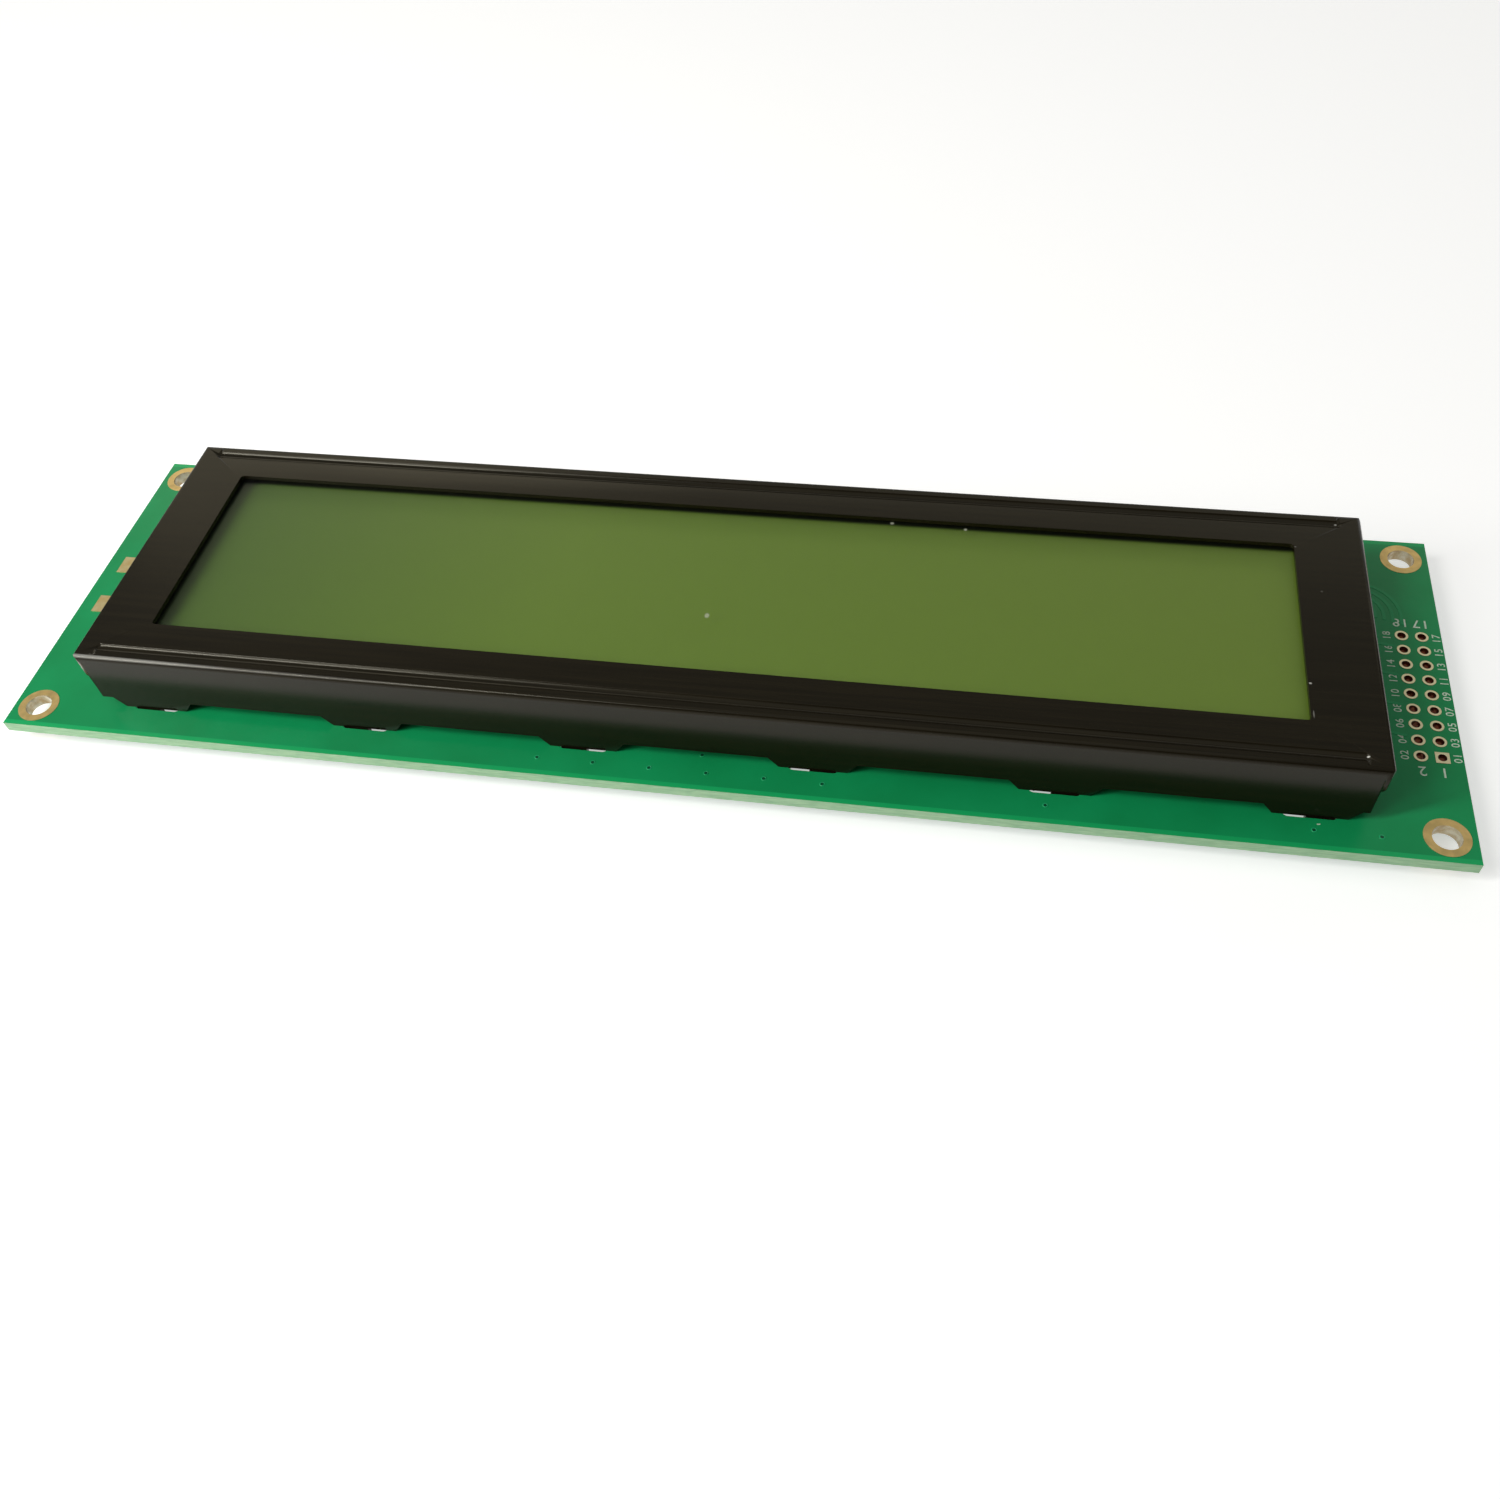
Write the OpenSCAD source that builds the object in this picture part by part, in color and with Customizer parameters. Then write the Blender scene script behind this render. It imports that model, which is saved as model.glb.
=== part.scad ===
// Character LCD module, forty characters by four lines, with an LED backlight.
//
// A black pressed-steel bezel clamps the glass cell, two rubber connectors and the
// backlight against a green circuit board. Twelve tongues of the bezel pass through
// slots in the board and are twisted behind it.
//
// Frame: the origin is the centre of the four mounting holes, on the back face of
// the board. +X runs along the length towards the pin header, +Z out of the display.

/* [Circuit board] */
// Length of the board
board_l = 190; // [188:0.5:200]
// Width of the board
board_w = 54; // [53:0.5:60]
// Thickness of the board
board_t = 1.6; // [1:0.1:2]
// Distance between the mounting holes along the length
hole_pitch_x = 183; // [181:0.5:184]
// Distance between the mounting holes across the width
hole_pitch_y = 47; // [46:0.5:48]
// Clear diameter of a mounting hole
hole_d = 3.5; // [2.5:0.1:3.6]
// Diameter of the copper ring round a mounting hole
hole_ring_d = 5.5; // [4.5:0.1:6]
// Thickness of the copper and its plating
copper_t = 0.05; // [0.03:0.01:0.1]

/* [Pin header] */
// Pins in each of the two columns
header_rows = 9; // [7:1:10]
// Distance from pin to pin
header_pitch = 2.54; // [2.5:0.04:2.54]
// Distance from the outer column to the end of the board
header_edge = 2.5; // [2:0.1:3]
// Middle of the header, measured across the board
header_y = -1.3; // [-3:0.1:3]
// Clear diameter of a pin hole
pin_hole_d = 1.1; // [0.8:0.1:1.2]
// Diameter of the ring round a pin hole
pin_ring_d = 1.7; // [1.6:0.1:2]

/* [Bezel] */
// Length of the bezel
bezel_l = 166; // [164:0.5:167]
// Width of the bezel
bezel_w = 43.1; // [42.5:0.1:43.5]
// Height of the bezel above the board
bezel_h = 9.7; // [9:0.1:11]
// Thickness of the sheet steel
sheet_t = 0.6; // [0.5:0.1:0.6]
// Outer radius of the folds round the top
fold_r = 0.7; // [0.7:0.1:1.4]
// Outer radius of the four upright corners
corner_r = 1.1; // [1:0.1:2]
// Length of the window
window_l = 148.5; // [146:0.5:150]
// Width of the window
window_w = 30; // [28:0.5:31]
// Clearance between the skirt and the board
skirt_gap = 1.7; // [1:0.1:2]
// Width of the stiffening bead along each long side
bead_w = 1.4; // [1.2:0.1:1.6]
// Depth of the bead
bead_depth = 0.35; // [0.3:0.05:0.5]
// Distance from the middle of the bead to the bezel's edge
bead_edge = 2; // [1.8:0.1:2.3]

/* [Tabs] */
// Tabs along each long side
tab_count = 6; // [4:1:6]
// Distance from tab to tab
tab_pitch = 30.1; // [29:0.1:31]
// Width of the twisted tongue
tongue_w = 3.4; // [3:0.1:3.8]
// Reach of the tongue behind the board
tongue_reach = 2.3; // [2.1:0.1:2.6]
// Turn of the tongue behind the board, in degrees
tongue_twist = 35; // [20:5:45]
// Length of the slot that a tongue passes through
slot_l = 6.6; // [6.4:0.1:7.2]
// Width of the slot
slot_w = 1.6; // [1.3:0.1:1.7]

/* [Display cell] */
// Thickness of each sheet of glass
glass_t = 1.1; // [0.7:0.1:1.1]
// Thickness of a polarizer
polarizer_t = 0.2; // [0.15:0.05:0.3]
// Width of the ledge on which the front glass meets a rubber connector
ledge_w = 2.3; // [2.2:0.1:3]

/* [Backlight] */
// Thickness of the backlight's own board
led_board_t = 1; // [0.8:0.1:1.6]
// Columns of light-emitting diodes
led_columns = 20; // [10:1:24]
// Rows of light-emitting diodes
led_rows = 3; // [2:1:4]

/* [Hidden] */

$fn = 48;
through = 1;      // how far a cutting body runs past the faces that it cuts
plating_t = 0.05; // wall of a plated hole

// Heights, from the back of the board upwards
board_top = board_t;
bezel_top = board_top + bezel_h;
sheet_under = bezel_top - sheet_t;
cell_top = sheet_under - bead_depth;
cell_middle = cell_top - glass_t;
cell_bottom = cell_middle - glass_t;
backlight_top = cell_bottom - polarizer_t;

// The bezel and all that it clamps share one middle, a little off the board's
bezel_x = 0.45;
bezel_y = -0.7;
// The middle of the window, measured from the bezel's; the tabs share it along X
window_x = -0.25;
window_y = 0.25;
window_corner_r = 0.5;
bead_l = bezel_l - 5.4;

// The lower corners of the skirt are open, and the end skirts are chamfered there
relief_top = board_top + 5.9;
relief_w = 0.9;
end_chamfer = 3.5;

// Foot of a tab, which stands on the board, and the tongue that goes on through it
foot_top_w = 11.4;
foot_w = 8.8;
tab_shift = 0.35;       // of all tabs along the length
tongue_shift = slot_l / 2 - 0.35 - tongue_w / 2;    // towards the nearer end of the bezel
slot_shift = 0.25;      // towards the middle of the board
twist_h = 1.2;          // height over which the tongue turns

// The cell and what lies under it
glass_l = bezel_l - 2 * sheet_t - 1.6;
glass_w = bezel_w - 2 * sheet_t - 0.6;
rear_glass_w = glass_w - 2 * ledge_w;
front_polarizer_l = glass_l - 6;
front_polarizer_w = rear_glass_w + 0.6;
rear_polarizer_l = glass_l - 4;
rear_polarizer_w = rear_glass_w - 1;
end_seal_w = 9;
end_seal_t = 0.5;
connector_l = glass_l - 5;
connector_w = 1.6;
connector_edge = 0.6;   // from the edge of the glass

// Fingers of copper under the rubber connectors
finger_count = 120;
finger_pitch = 1.27;
finger_w = 0.7;
finger_l = 1.5;

// Backlight
backlight_l = glass_l - 3;
backlight_w = rear_glass_w - 0.4;
frame_wall = 1.4;
diffuser_t = 0.8;
diffuser_rebate = 0.7;
led_size = [2, 1.25, 0.8];
lit_l = backlight_l - 16;
lit_w = backlight_w - 12;
light_pin_d = 0.8;
light_pin_x = -74.5;
light_pin_y = 4;
light_pin_hole_d = 1;
light_pin_rise = 0.9;
light_pin_fall = 1.1;
solder_base_d = 2;
backlight_pad = [2.7, 3.2];
backlight_pad_y = 4.05;

// Chips bonded to the back of the board, each under a drop of epoxy
die_t = 0.4;
controller_die = 4.6;
driver_die = 3.8;
controller_blob_d = 17;
driver_blob_d = 14.5;
blob_h = 1.85;
blob_rim = 0.3;
blob_rows = [bezel_y - 9.8, bezel_y + 9.8];
controller_x = 56;
driver_x = [8, -38];

// Soldered chip parts on the back: length, width, height
resistor = [2, 1.25, 0.5];
capacitor = [2, 1.25, 0.9];
power_resistor = [3.2, 1.6, 0.6];
fillet = 0.45;
// Places of the chip parts, in each blob row measured from the row's middle
resistor_places = [for (i = [0:4]) [71, -4 + 2 * i]];
oscillator_place = [44, -5];
capacitor_places = [[76.5, -4], [76.5, 0]];
power_resistor_places = [for (i = [0:3]) [-68, -4.2 + 2.8 * i]];

// --- Shared shapes ---------------------------------------------------------

// A block that stands on z, centred on the middle of the display
module display_block(l, w, z, h) {
    translate([bezel_x, bezel_y, z + h / 2])
        cube([l, w, h], center = true);
}

module rounded_rectangle(l, w, r) {
    square([l - 2 * r, w], center = true);
    square([l, w - 2 * r], center = true);
    for (x = [-1, 1], y = [-1, 1])
        translate([x * (l / 2 - r), y * (w / 2 - r)])
            circle(r);
}

// A rectangle that stands on the x axis, with its two upper corners rounded
module hood_profile(w, h, r) {
    translate([-w / 2, 0])
        square([w, h - r]);
    translate([-w / 2 + r, 0])
        square([w - 2 * r, h]);
    for (side = [-1, 1])
        translate([side * (w / 2 - r), h - r])
            circle(r);
}

// A lid-shaped solid: rounded upright corners and rounded edges round the top
module hood(l, w, h, corner, fold) {
    intersection() {
        linear_extrude(h)
            rounded_rectangle(l, w, corner);
        rotate([90, 0, 90])
            linear_extrude(l, center = true)
                hood_profile(w, h, fold);
        rotate([90, 0, 0])
            linear_extrude(w, center = true)
                hood_profile(l, h, fold);
    }
}

// A bar along X with round section and round ends
module capsule(l, r) {
    rotate([0, 90, 0])
        cylinder(h = l, r = r, center = true);
    for (end = [-1, 1])
        translate([end * l / 2, 0, 0])
            sphere(r);
}

module slot(l, w) {
    square([l - w, w], center = true);
    for (end = [-1, 1])
        translate([end * (l - w) / 2, 0])
            circle(w / 2);
}

// Copper lining of a hole, with a ring on both faces of the board
module plated_hole(clear_d, ring_d, square_ring = false) {
    difference() {
        union() {
            cylinder(h = board_t, d = clear_d + 2 * plating_t);
            for (z = [-copper_t, board_top])
                translate([0, 0, z])
                    if (square_ring)
                        translate([0, 0, copper_t / 2])
                            cube([ring_d, ring_d, copper_t], center = true);
                    else
                        cylinder(h = copper_t, d = ring_d);
        }
        translate([0, 0, -through])
            cylinder(h = board_t + 2 * through, d = clear_d);
    }
}

// --- Places ----------------------------------------------------------------

module at_mounting_holes() {
    for (x = [-1, 1], y = [-1, 1])
        translate([x * hole_pitch_x / 2, y * hole_pitch_y / 2, 0])
            children();
}

function header_place(column, row) = [
    board_l / 2 - header_edge - column * header_pitch,
    header_y + (row - (header_rows - 1) / 2) * header_pitch,
    0
];

module at_backlight_pins() {
    for (side = [-1, 1])
        translate([light_pin_x, side * light_pin_y, 0])
            children();
}

// Each tab stands in the wall of the skirt; its tongue lies towards the bezel's end
function tab_x(i) = bezel_x + tab_shift + (i - (tab_count - 1) / 2) * tab_pitch;

function tab_y(side) = bezel_y + side * (bezel_w - sheet_t) / 2;

// Places on the back of the board, repeated in both blob rows
module at_rear(places) {
    for (y = blob_rows, p = places)
        translate([p[0], y + p[1], 0])
            mirror([0, 0, 1])
                children();
}

// --- Circuit board ---------------------------------------------------------

module circuit_board() {
    color([0.11, 0.52, 0.30])
        linear_extrude(board_t)
            difference() {
                square([board_l, board_w], center = true);
                at_mounting_holes()
                    circle(d = hole_d + 2 * plating_t);
                for (column = [0, 1], row = [0:header_rows - 1])
                    translate(header_place(column, row))
                        circle(d = pin_hole_d + 2 * plating_t);
                for (side = [-1, 1], i = [0:tab_count - 1])
                    translate([tab_x(i), tab_y(side) - side * slot_shift])
                        slot(slot_l, slot_w);
                at_backlight_pins()
                    circle(d = light_pin_hole_d);
            }
}

module mounting_pads() {
    color([0.80, 0.66, 0.36])
        at_mounting_holes()
            plated_hole(hole_d, hole_ring_d);
}

// Pin 1, at the front end of the outer column, has a square ring
module header_pads() {
    color([0.80, 0.66, 0.36])
        for (column = [0, 1], row = [0:header_rows - 1])
            translate(header_place(column, row))
                plated_hole(pin_hole_d, pin_ring_d, column == 0 && row == 0);
}

module backlight_pads() {
    color([0.80, 0.66, 0.36])
        for (side = [-1, 1])
            translate([-hole_pitch_x / 2, side * backlight_pad_y, board_top + copper_t / 2])
                cube([backlight_pad[0], backlight_pad[1], copper_t], center = true);
}

function connector_y(side) =
    bezel_y + side * (glass_w / 2 - connector_edge - connector_w / 2);

module contact_fingers() {
    color([0.80, 0.66, 0.36])
        for (side = [-1, 1], i = [0:finger_count - 1])
            translate([
                bezel_x + (i - (finger_count - 1) / 2) * finger_pitch,
                connector_y(side),
                board_top + copper_t / 2
            ])
                cube([finger_w, finger_l, copper_t], center = true);
}

// --- Bezel -----------------------------------------------------------------

// Side view of a tab: the foot's sloping shoulders, then the tongue down through the board
module tab_profile(shift) {
    polygon([
        [-foot_top_w / 2, board_top + skirt_gap],
        [-foot_w / 2, board_top],
        [shift - tongue_w / 2, board_top],
        [shift - tongue_w / 2, 0],
        [shift + tongue_w / 2, 0],
        [shift + tongue_w / 2, board_top],
        [foot_w / 2, board_top],
        [foot_top_w / 2, board_top + skirt_gap]
    ]);
}

// The part of the tongue behind the board: it turns, then runs straight to its end
module twisted_tongue() {
    mirror([0, 0, 1]) {
        linear_extrude(twist_h, twist = tongue_twist, slices = 5, segments = 6)
            square([tongue_w, sheet_t], center = true);
        translate([0, 0, twist_h])
            rotate(-tongue_twist)
                linear_extrude(tongue_reach - twist_h)
                    square([tongue_w, sheet_t], center = true);
    }
}

module tab(side, i) {
    shift = i < tab_count / 2 ? -tongue_shift : tongue_shift;
    translate([tab_x(i), tab_y(side), 0]) {
        rotate([90, 0, 0])
            linear_extrude(sheet_t, center = true)
                tab_profile(shift);
        translate([shift, 0, 0])
            twisted_tongue();
    }
}

// Cuts the skirt open at one lower corner, and slopes the end skirt beside it
module corner_relief() {
    depth = relief_top - board_top;
    translate([0, 0, relief_top - depth / 2])
        cube([2 * relief_w, 2 * relief_w, depth], center = true);
    rotate([90, 0, 90])
        linear_extrude(4 * corner_r, center = true)
            polygon([
                [-sheet_t, relief_top],
                [-corner_r, relief_top],
                [-corner_r - end_chamfer, board_top],
                [-sheet_t, board_top]
            ]);
}

module bead_bar(r) {
    centre_above = pow(bead_w / 2, 2) / (2 * bead_depth) - bead_depth / 2;
    for (side = [-1, 1])
        translate([0, side * (bezel_w / 2 - bead_edge), bezel_top + centre_above])
            capsule(bead_l - bead_w, r);
}

module bezel() {
    skirt_bottom = board_top + skirt_gap;
    skirt_h = bezel_top - skirt_bottom;
    bead_r = pow(bead_w / 2, 2) / (2 * bead_depth) + bead_depth / 2;
    color([0.10, 0.09, 0.08]) {
        translate([bezel_x, bezel_y, 0])
            difference() {
                union() {
                    difference() {
                        translate([0, 0, skirt_bottom])
                            hood(bezel_l, bezel_w, skirt_h, corner_r, fold_r);
                        translate([0, 0, skirt_bottom - through])
                            hood(
                                bezel_l - 2 * sheet_t, bezel_w - 2 * sheet_t,
                                skirt_h - sheet_t + through,
                                corner_r - sheet_t, fold_r - sheet_t
                            );
                    }
                    intersection() {
                        bead_bar(bead_r + sheet_t);
                        translate([0, 0, sheet_under])
                            cube([bezel_l - 2, bezel_w - 2 * sheet_t, 2 * sheet_t], center = true);
                    }
                }
                bead_bar(bead_r);
                translate([window_x, window_y, sheet_under - through])
                    linear_extrude(sheet_t + 2 * through)
                        rounded_rectangle(window_l, window_w, window_corner_r);
                for (x = [-1, 1], y = [0, 1])
                    mirror([0, y, 0])
                        translate([x * bezel_l / 2, bezel_w / 2, 0])
                            corner_relief();
            }
        for (side = [-1, 1], i = [0:tab_count - 1])
            tab(side, i);
    }
}

// --- Display cell ----------------------------------------------------------

module front_polarizer() {
    color([0.35, 0.42, 0.22])
        display_block(front_polarizer_l, front_polarizer_w, cell_top, polarizer_t);
}

module front_glass() {
    color([0.75, 0.85, 0.80, 0.5])
        display_block(glass_l, glass_w, cell_middle, glass_t);
}

module rear_glass() {
    color([0.75, 0.85, 0.80, 0.5])
        display_block(glass_l, rear_glass_w, cell_bottom, glass_t);
}

// The drop of resin that closes the filling port, at the end away from the header
module cell_end_seal() {
    bulge_r = pow(end_seal_w / 2, 2) / (2 * end_seal_t) + end_seal_t / 2;
    color([0.85, 0.80, 0.60])
        translate([bezel_x - glass_l / 2, bezel_y, cell_bottom + 0.2])
            intersection() {
                translate([bulge_r - end_seal_t, 0, 0])
                    cylinder(h = 2 * glass_t - 0.4, r = bulge_r, $fn = 360);
                translate([-end_seal_t, -end_seal_w / 2, 0])
                    cube([end_seal_t, end_seal_w, 2 * glass_t]);
            }
}

module rear_polarizer() {
    color([0.62, 0.68, 0.30])
        display_block(rear_polarizer_l, rear_polarizer_w, backlight_top, polarizer_t);
}

module rubber_connector(side) {
    foot_z = board_top + copper_t;
    color([0.75, 0.55, 0.55])
        translate([bezel_x, connector_y(side), (foot_z + cell_middle) / 2])
            cube([connector_l, connector_w, cell_middle - foot_z], center = true);
}

module front_rubber_connector() {
    rubber_connector(-1);
}

module rear_rubber_connector() {
    rubber_connector(1);
}

// --- Backlight -------------------------------------------------------------

module backlight_board() {
    color([0.90, 0.90, 0.84])
        difference() {
            display_block(backlight_l, backlight_w, board_top, led_board_t);
            at_backlight_pins()
                cylinder(h = 2 * board_t + led_board_t, d = light_pin_hole_d);
        }
}

// White moulded wall round the diodes, with a rebate for the diffuser
module backlight_frame() {
    floor_z = board_top + led_board_t;
    color([0.93, 0.93, 0.90])
        difference() {
            display_block(backlight_l, backlight_w, floor_z, backlight_top - floor_z);
            display_block(
                backlight_l - 2 * frame_wall, backlight_w - 2 * frame_wall,
                floor_z - through, backlight_top - floor_z + 2 * through
            );
            display_block(
                backlight_l - 2 * frame_wall + 2 * diffuser_rebate,
                backlight_w - 2 * frame_wall + 2 * diffuser_rebate,
                backlight_top - diffuser_t, diffuser_t + through
            );
        }
}

module backlight_diffuser() {
    color([0.90, 0.95, 0.80])
        display_block(
            backlight_l - 2 * frame_wall + 2 * diffuser_rebate,
            backlight_w - 2 * frame_wall + 2 * diffuser_rebate,
            backlight_top - diffuser_t, diffuser_t
        );
}

module backlight_leds() {
    color([0.95, 0.90, 0.45])
        for (i = [0:led_columns - 1], j = [0:led_rows - 1])
            translate([
                bezel_x + (i / (led_columns - 1) - 0.5) * lit_l,
                bezel_y + (j / (led_rows - 1) - 0.5) * lit_w,
                board_top + led_board_t + led_size[2] / 2
            ])
                cube(led_size, center = true);
}

// Two straight pins carry the backlight's current up from the main board
module backlight_pins() {
    color([0.80, 0.80, 0.78])
        at_backlight_pins()
            translate([0, 0, -light_pin_fall])
                cylinder(
                    h = light_pin_fall + board_top + led_board_t + light_pin_rise,
                    d = light_pin_d
                );
}

// A hollow cone of solder round a pin, standing on z = 0
module solder_cone(h) {
    rotate_extrude()
        polygon([
            [light_pin_d / 2, 0],
            [solder_base_d / 2, 0],
            [light_pin_d / 2 + 0.25, h / 2],
            [light_pin_d / 2, h]
        ]);
}

module backlight_pin_solder() {
    color([0.78, 0.79, 0.80])
        at_backlight_pins() {
            translate([0, 0, board_top + led_board_t])
                solder_cone(light_pin_rise - 0.1);
            mirror([0, 0, 1])
                solder_cone(light_pin_fall - 0.1);
        }
}

// --- Chips on the back -----------------------------------------------------

module die(size) {
    color([0.25, 0.26, 0.30])
        translate([0, 0, die_t / 2])
            cube([size, size, die_t], center = true);
}

// Epoxy poured over a chip: a low dome on a thin rim, hollow where the chip is
module blob(d, die_size) {
    cap_h = blob_h - blob_rim;
    cap_r = pow(d / 2, 2) / (2 * cap_h) + cap_h / 2;
    color([0.08, 0.08, 0.08])
        difference() {
            union() {
                cylinder(h = blob_rim, d = d, $fn = 96);
                intersection() {
                    translate([0, 0, blob_h - cap_r])
                        sphere(cap_r, $fn = 180);
                    cylinder(h = blob_h, d = d, $fn = 96);
                }
            }
            translate([0, 0, die_t / 2 - through / 2])
                cube([die_size, die_size, die_t + through], center = true);
        }
}

controller_places = [[controller_x, 0]];
driver_places = [for (x = driver_x) [x, 0]];

module controller_dies() {
    at_rear(controller_places)
        die(controller_die);
}

module controller_blobs() {
    at_rear(controller_places)
        blob(controller_blob_d, controller_die);
}

module driver_dies() {
    at_rear(driver_places)
        die(driver_die);
}

module driver_blobs() {
    at_rear(driver_places)
        blob(driver_blob_d, driver_die);
}

module chip(size) {
    translate([0, 0, size[2] / 2])
        cube(size, center = true);
}

// Solder wedges against both ends of a chip part
module fillets(size) {
    for (end = [0, 1])
        mirror([end, 0, 0])
            translate([size[0] / 2, 0, 0])
                rotate([90, 0, 0])
                    linear_extrude(size[1], center = true)
                        polygon([[0, 0], [fillet, 0], [0, fillet]]);
}

module chip_resistors() {
    color([0.12, 0.12, 0.13]) {
        at_rear(resistor_places)
            chip(resistor);
        at_rear([oscillator_place])
            chip(resistor);
    }
}

module chip_capacitors() {
    color([0.62, 0.50, 0.36])
        at_rear(capacitor_places)
            chip(capacitor);
}

module backlight_resistors() {
    color([0.12, 0.12, 0.13])
        at_rear(power_resistor_places)
            chip(power_resistor);
}

module chip_solder() {
    color([0.78, 0.79, 0.80]) {
        at_rear(resistor_places)
            fillets(resistor);
        at_rear([oscillator_place])
            fillets(resistor);
        at_rear(capacitor_places)
            fillets(capacitor);
        at_rear(power_resistor_places)
            fillets(power_resistor);
    }
}

circuit_board();
mounting_pads();
header_pads();
backlight_pads();
contact_fingers();
bezel();
front_polarizer();
front_glass();
rear_glass();
cell_end_seal();
rear_polarizer();
front_rubber_connector();
rear_rubber_connector();
backlight_board();
backlight_frame();
backlight_diffuser();
backlight_leds();
backlight_pins();
backlight_pin_solder();
controller_dies();
controller_blobs();
driver_dies();
driver_blobs();
chip_resistors();
chip_capacitors();
backlight_resistors();
chip_solder();
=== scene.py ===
"""Looks of a character LCD module: camera, light, and each piece in the order of assembly.

The board comes first, with its copper and print, then what is soldered and cast on its back,
then the backlight and the display cell and, last, the bezel that clamps them. Lengths are in
metres; those that are given in millimetres say so, or are multiplied by MM.
"""

import math

import bmesh
import bpy
from mathutils import Matrix, Vector


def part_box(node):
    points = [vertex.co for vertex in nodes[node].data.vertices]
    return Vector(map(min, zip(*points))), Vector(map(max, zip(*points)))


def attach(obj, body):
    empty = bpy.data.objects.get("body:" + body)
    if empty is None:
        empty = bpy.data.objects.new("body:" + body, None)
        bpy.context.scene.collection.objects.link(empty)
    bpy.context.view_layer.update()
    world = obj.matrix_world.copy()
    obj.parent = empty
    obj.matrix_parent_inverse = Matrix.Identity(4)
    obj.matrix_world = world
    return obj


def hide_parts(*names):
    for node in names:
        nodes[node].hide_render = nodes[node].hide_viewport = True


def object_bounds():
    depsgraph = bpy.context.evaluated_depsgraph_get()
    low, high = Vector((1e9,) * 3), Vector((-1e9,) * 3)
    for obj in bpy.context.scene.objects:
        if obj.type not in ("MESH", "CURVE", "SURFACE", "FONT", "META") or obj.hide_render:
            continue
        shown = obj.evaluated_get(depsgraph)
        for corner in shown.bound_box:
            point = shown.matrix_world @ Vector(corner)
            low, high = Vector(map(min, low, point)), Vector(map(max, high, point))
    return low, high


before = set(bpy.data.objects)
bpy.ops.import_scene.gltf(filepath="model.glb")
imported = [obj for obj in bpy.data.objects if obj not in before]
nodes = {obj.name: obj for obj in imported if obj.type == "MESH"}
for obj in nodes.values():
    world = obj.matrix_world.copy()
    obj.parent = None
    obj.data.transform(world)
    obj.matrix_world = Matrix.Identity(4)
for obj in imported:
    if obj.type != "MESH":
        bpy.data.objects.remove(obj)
low_corner, high_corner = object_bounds()
MM = 0.001


# --- Camera ------------------------------------------------------------------
# Looks down on the module from in front and a little to the right, about twenty
# centimetres away, with a slight roll.

camera_data = bpy.data.cameras.new("camera")
camera_data.sensor_width = 36
camera_data.lens = 32.28
camera_data.shift_x = -0.0207
camera = bpy.data.objects.new("camera", camera_data)
camera.location = (0.03645, -0.12338, 0.13662)
camera.rotation_euler = [math.radians(turn) for turn in (38.245, 3.422, 9.260)]
bpy.context.scene.collection.objects.link(camera)
bpy.context.scene.camera = camera
bpy.context.scene.view_settings.view_transform = "Standard"


# --- Table and light ---------------------------------------------------------
# A white table top whose rim curves up into a backdrop all round. Two tall lamps at the
# front left stand for windows, one lamp hangs above and two shine from behind. The room
# is dim in front.

table_radius = 2.4
table_sides = 64
backdrop_bend = 0.5
backdrop_bend_steps = 8
backdrop_height = 1.1
table_white = (0.75, 0.75, 0.75, 1)
background_glow = 0.50
room_tone = (0.97, 1.0, 1.0, 1)
room_light = 0.27
room_front = 0.03
dim_until = -0.75
light_from = -0.25


def new_material(name):
    """An empty node material: returns it, its nodes, its links and its output."""
    material = bpy.data.materials.new(name)
    material.use_nodes = True
    tree = material.node_tree
    tree.nodes.clear()
    output = tree.nodes.new("ShaderNodeOutputMaterial")
    return material, tree.nodes, tree.links, output


def feed(links, socket, value):
    """Gives a socket a constant, or links it to another node's output."""
    if isinstance(value, bpy.types.NodeSocket):
        links.new(value, socket)
    else:
        socket.default_value = value


def calculated(nodes_here, links, operation, *values):
    """The result of one step of arithmetic on constants and other nodes' outputs."""
    step = nodes_here.new("ShaderNodeMath")
    step.operation = operation
    for socket, value in zip(step.inputs, values):
        feed(links, socket, value)
    return step.outputs[0]


def mesh_piece(name, vertices, faces, material):
    """A mesh object at the origin, with its place in its vertices."""
    mesh = bpy.data.meshes.new(name)
    mesh.from_pydata(vertices, [], faces)
    mesh.materials.append(material)
    piece = bpy.data.objects.new(name, mesh)
    bpy.context.scene.collection.objects.link(piece)
    return piece


def white_surface():
    """White paper, which glows where it is seen directly, mirrored or through something clear."""
    material, mat_nodes, mat_links, output = new_material("white_paper")
    paper = mat_nodes.new("ShaderNodeBsdfDiffuse")
    paper.inputs["Color"].default_value = table_white
    path = mat_nodes.new("ShaderNodeLightPath")
    seen = path.outputs["Is Camera Ray"]
    for other_ray in ("Is Glossy Ray", "Is Transmission Ray"):
        seen = calculated(mat_nodes, mat_links, "MAXIMUM", seen, path.outputs[other_ray])
    strength = calculated(mat_nodes, mat_links, "MULTIPLY", seen, background_glow)
    glow = mat_nodes.new("ShaderNodeEmission")
    mat_links.new(strength, glow.inputs["Strength"])
    both = mat_nodes.new("ShaderNodeAddShader")
    mat_links.new(paper.outputs[0], both.inputs[0])
    mat_links.new(glow.outputs[0], both.inputs[1])
    mat_links.new(both.outputs[0], output.inputs["Surface"])
    return material


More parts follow.
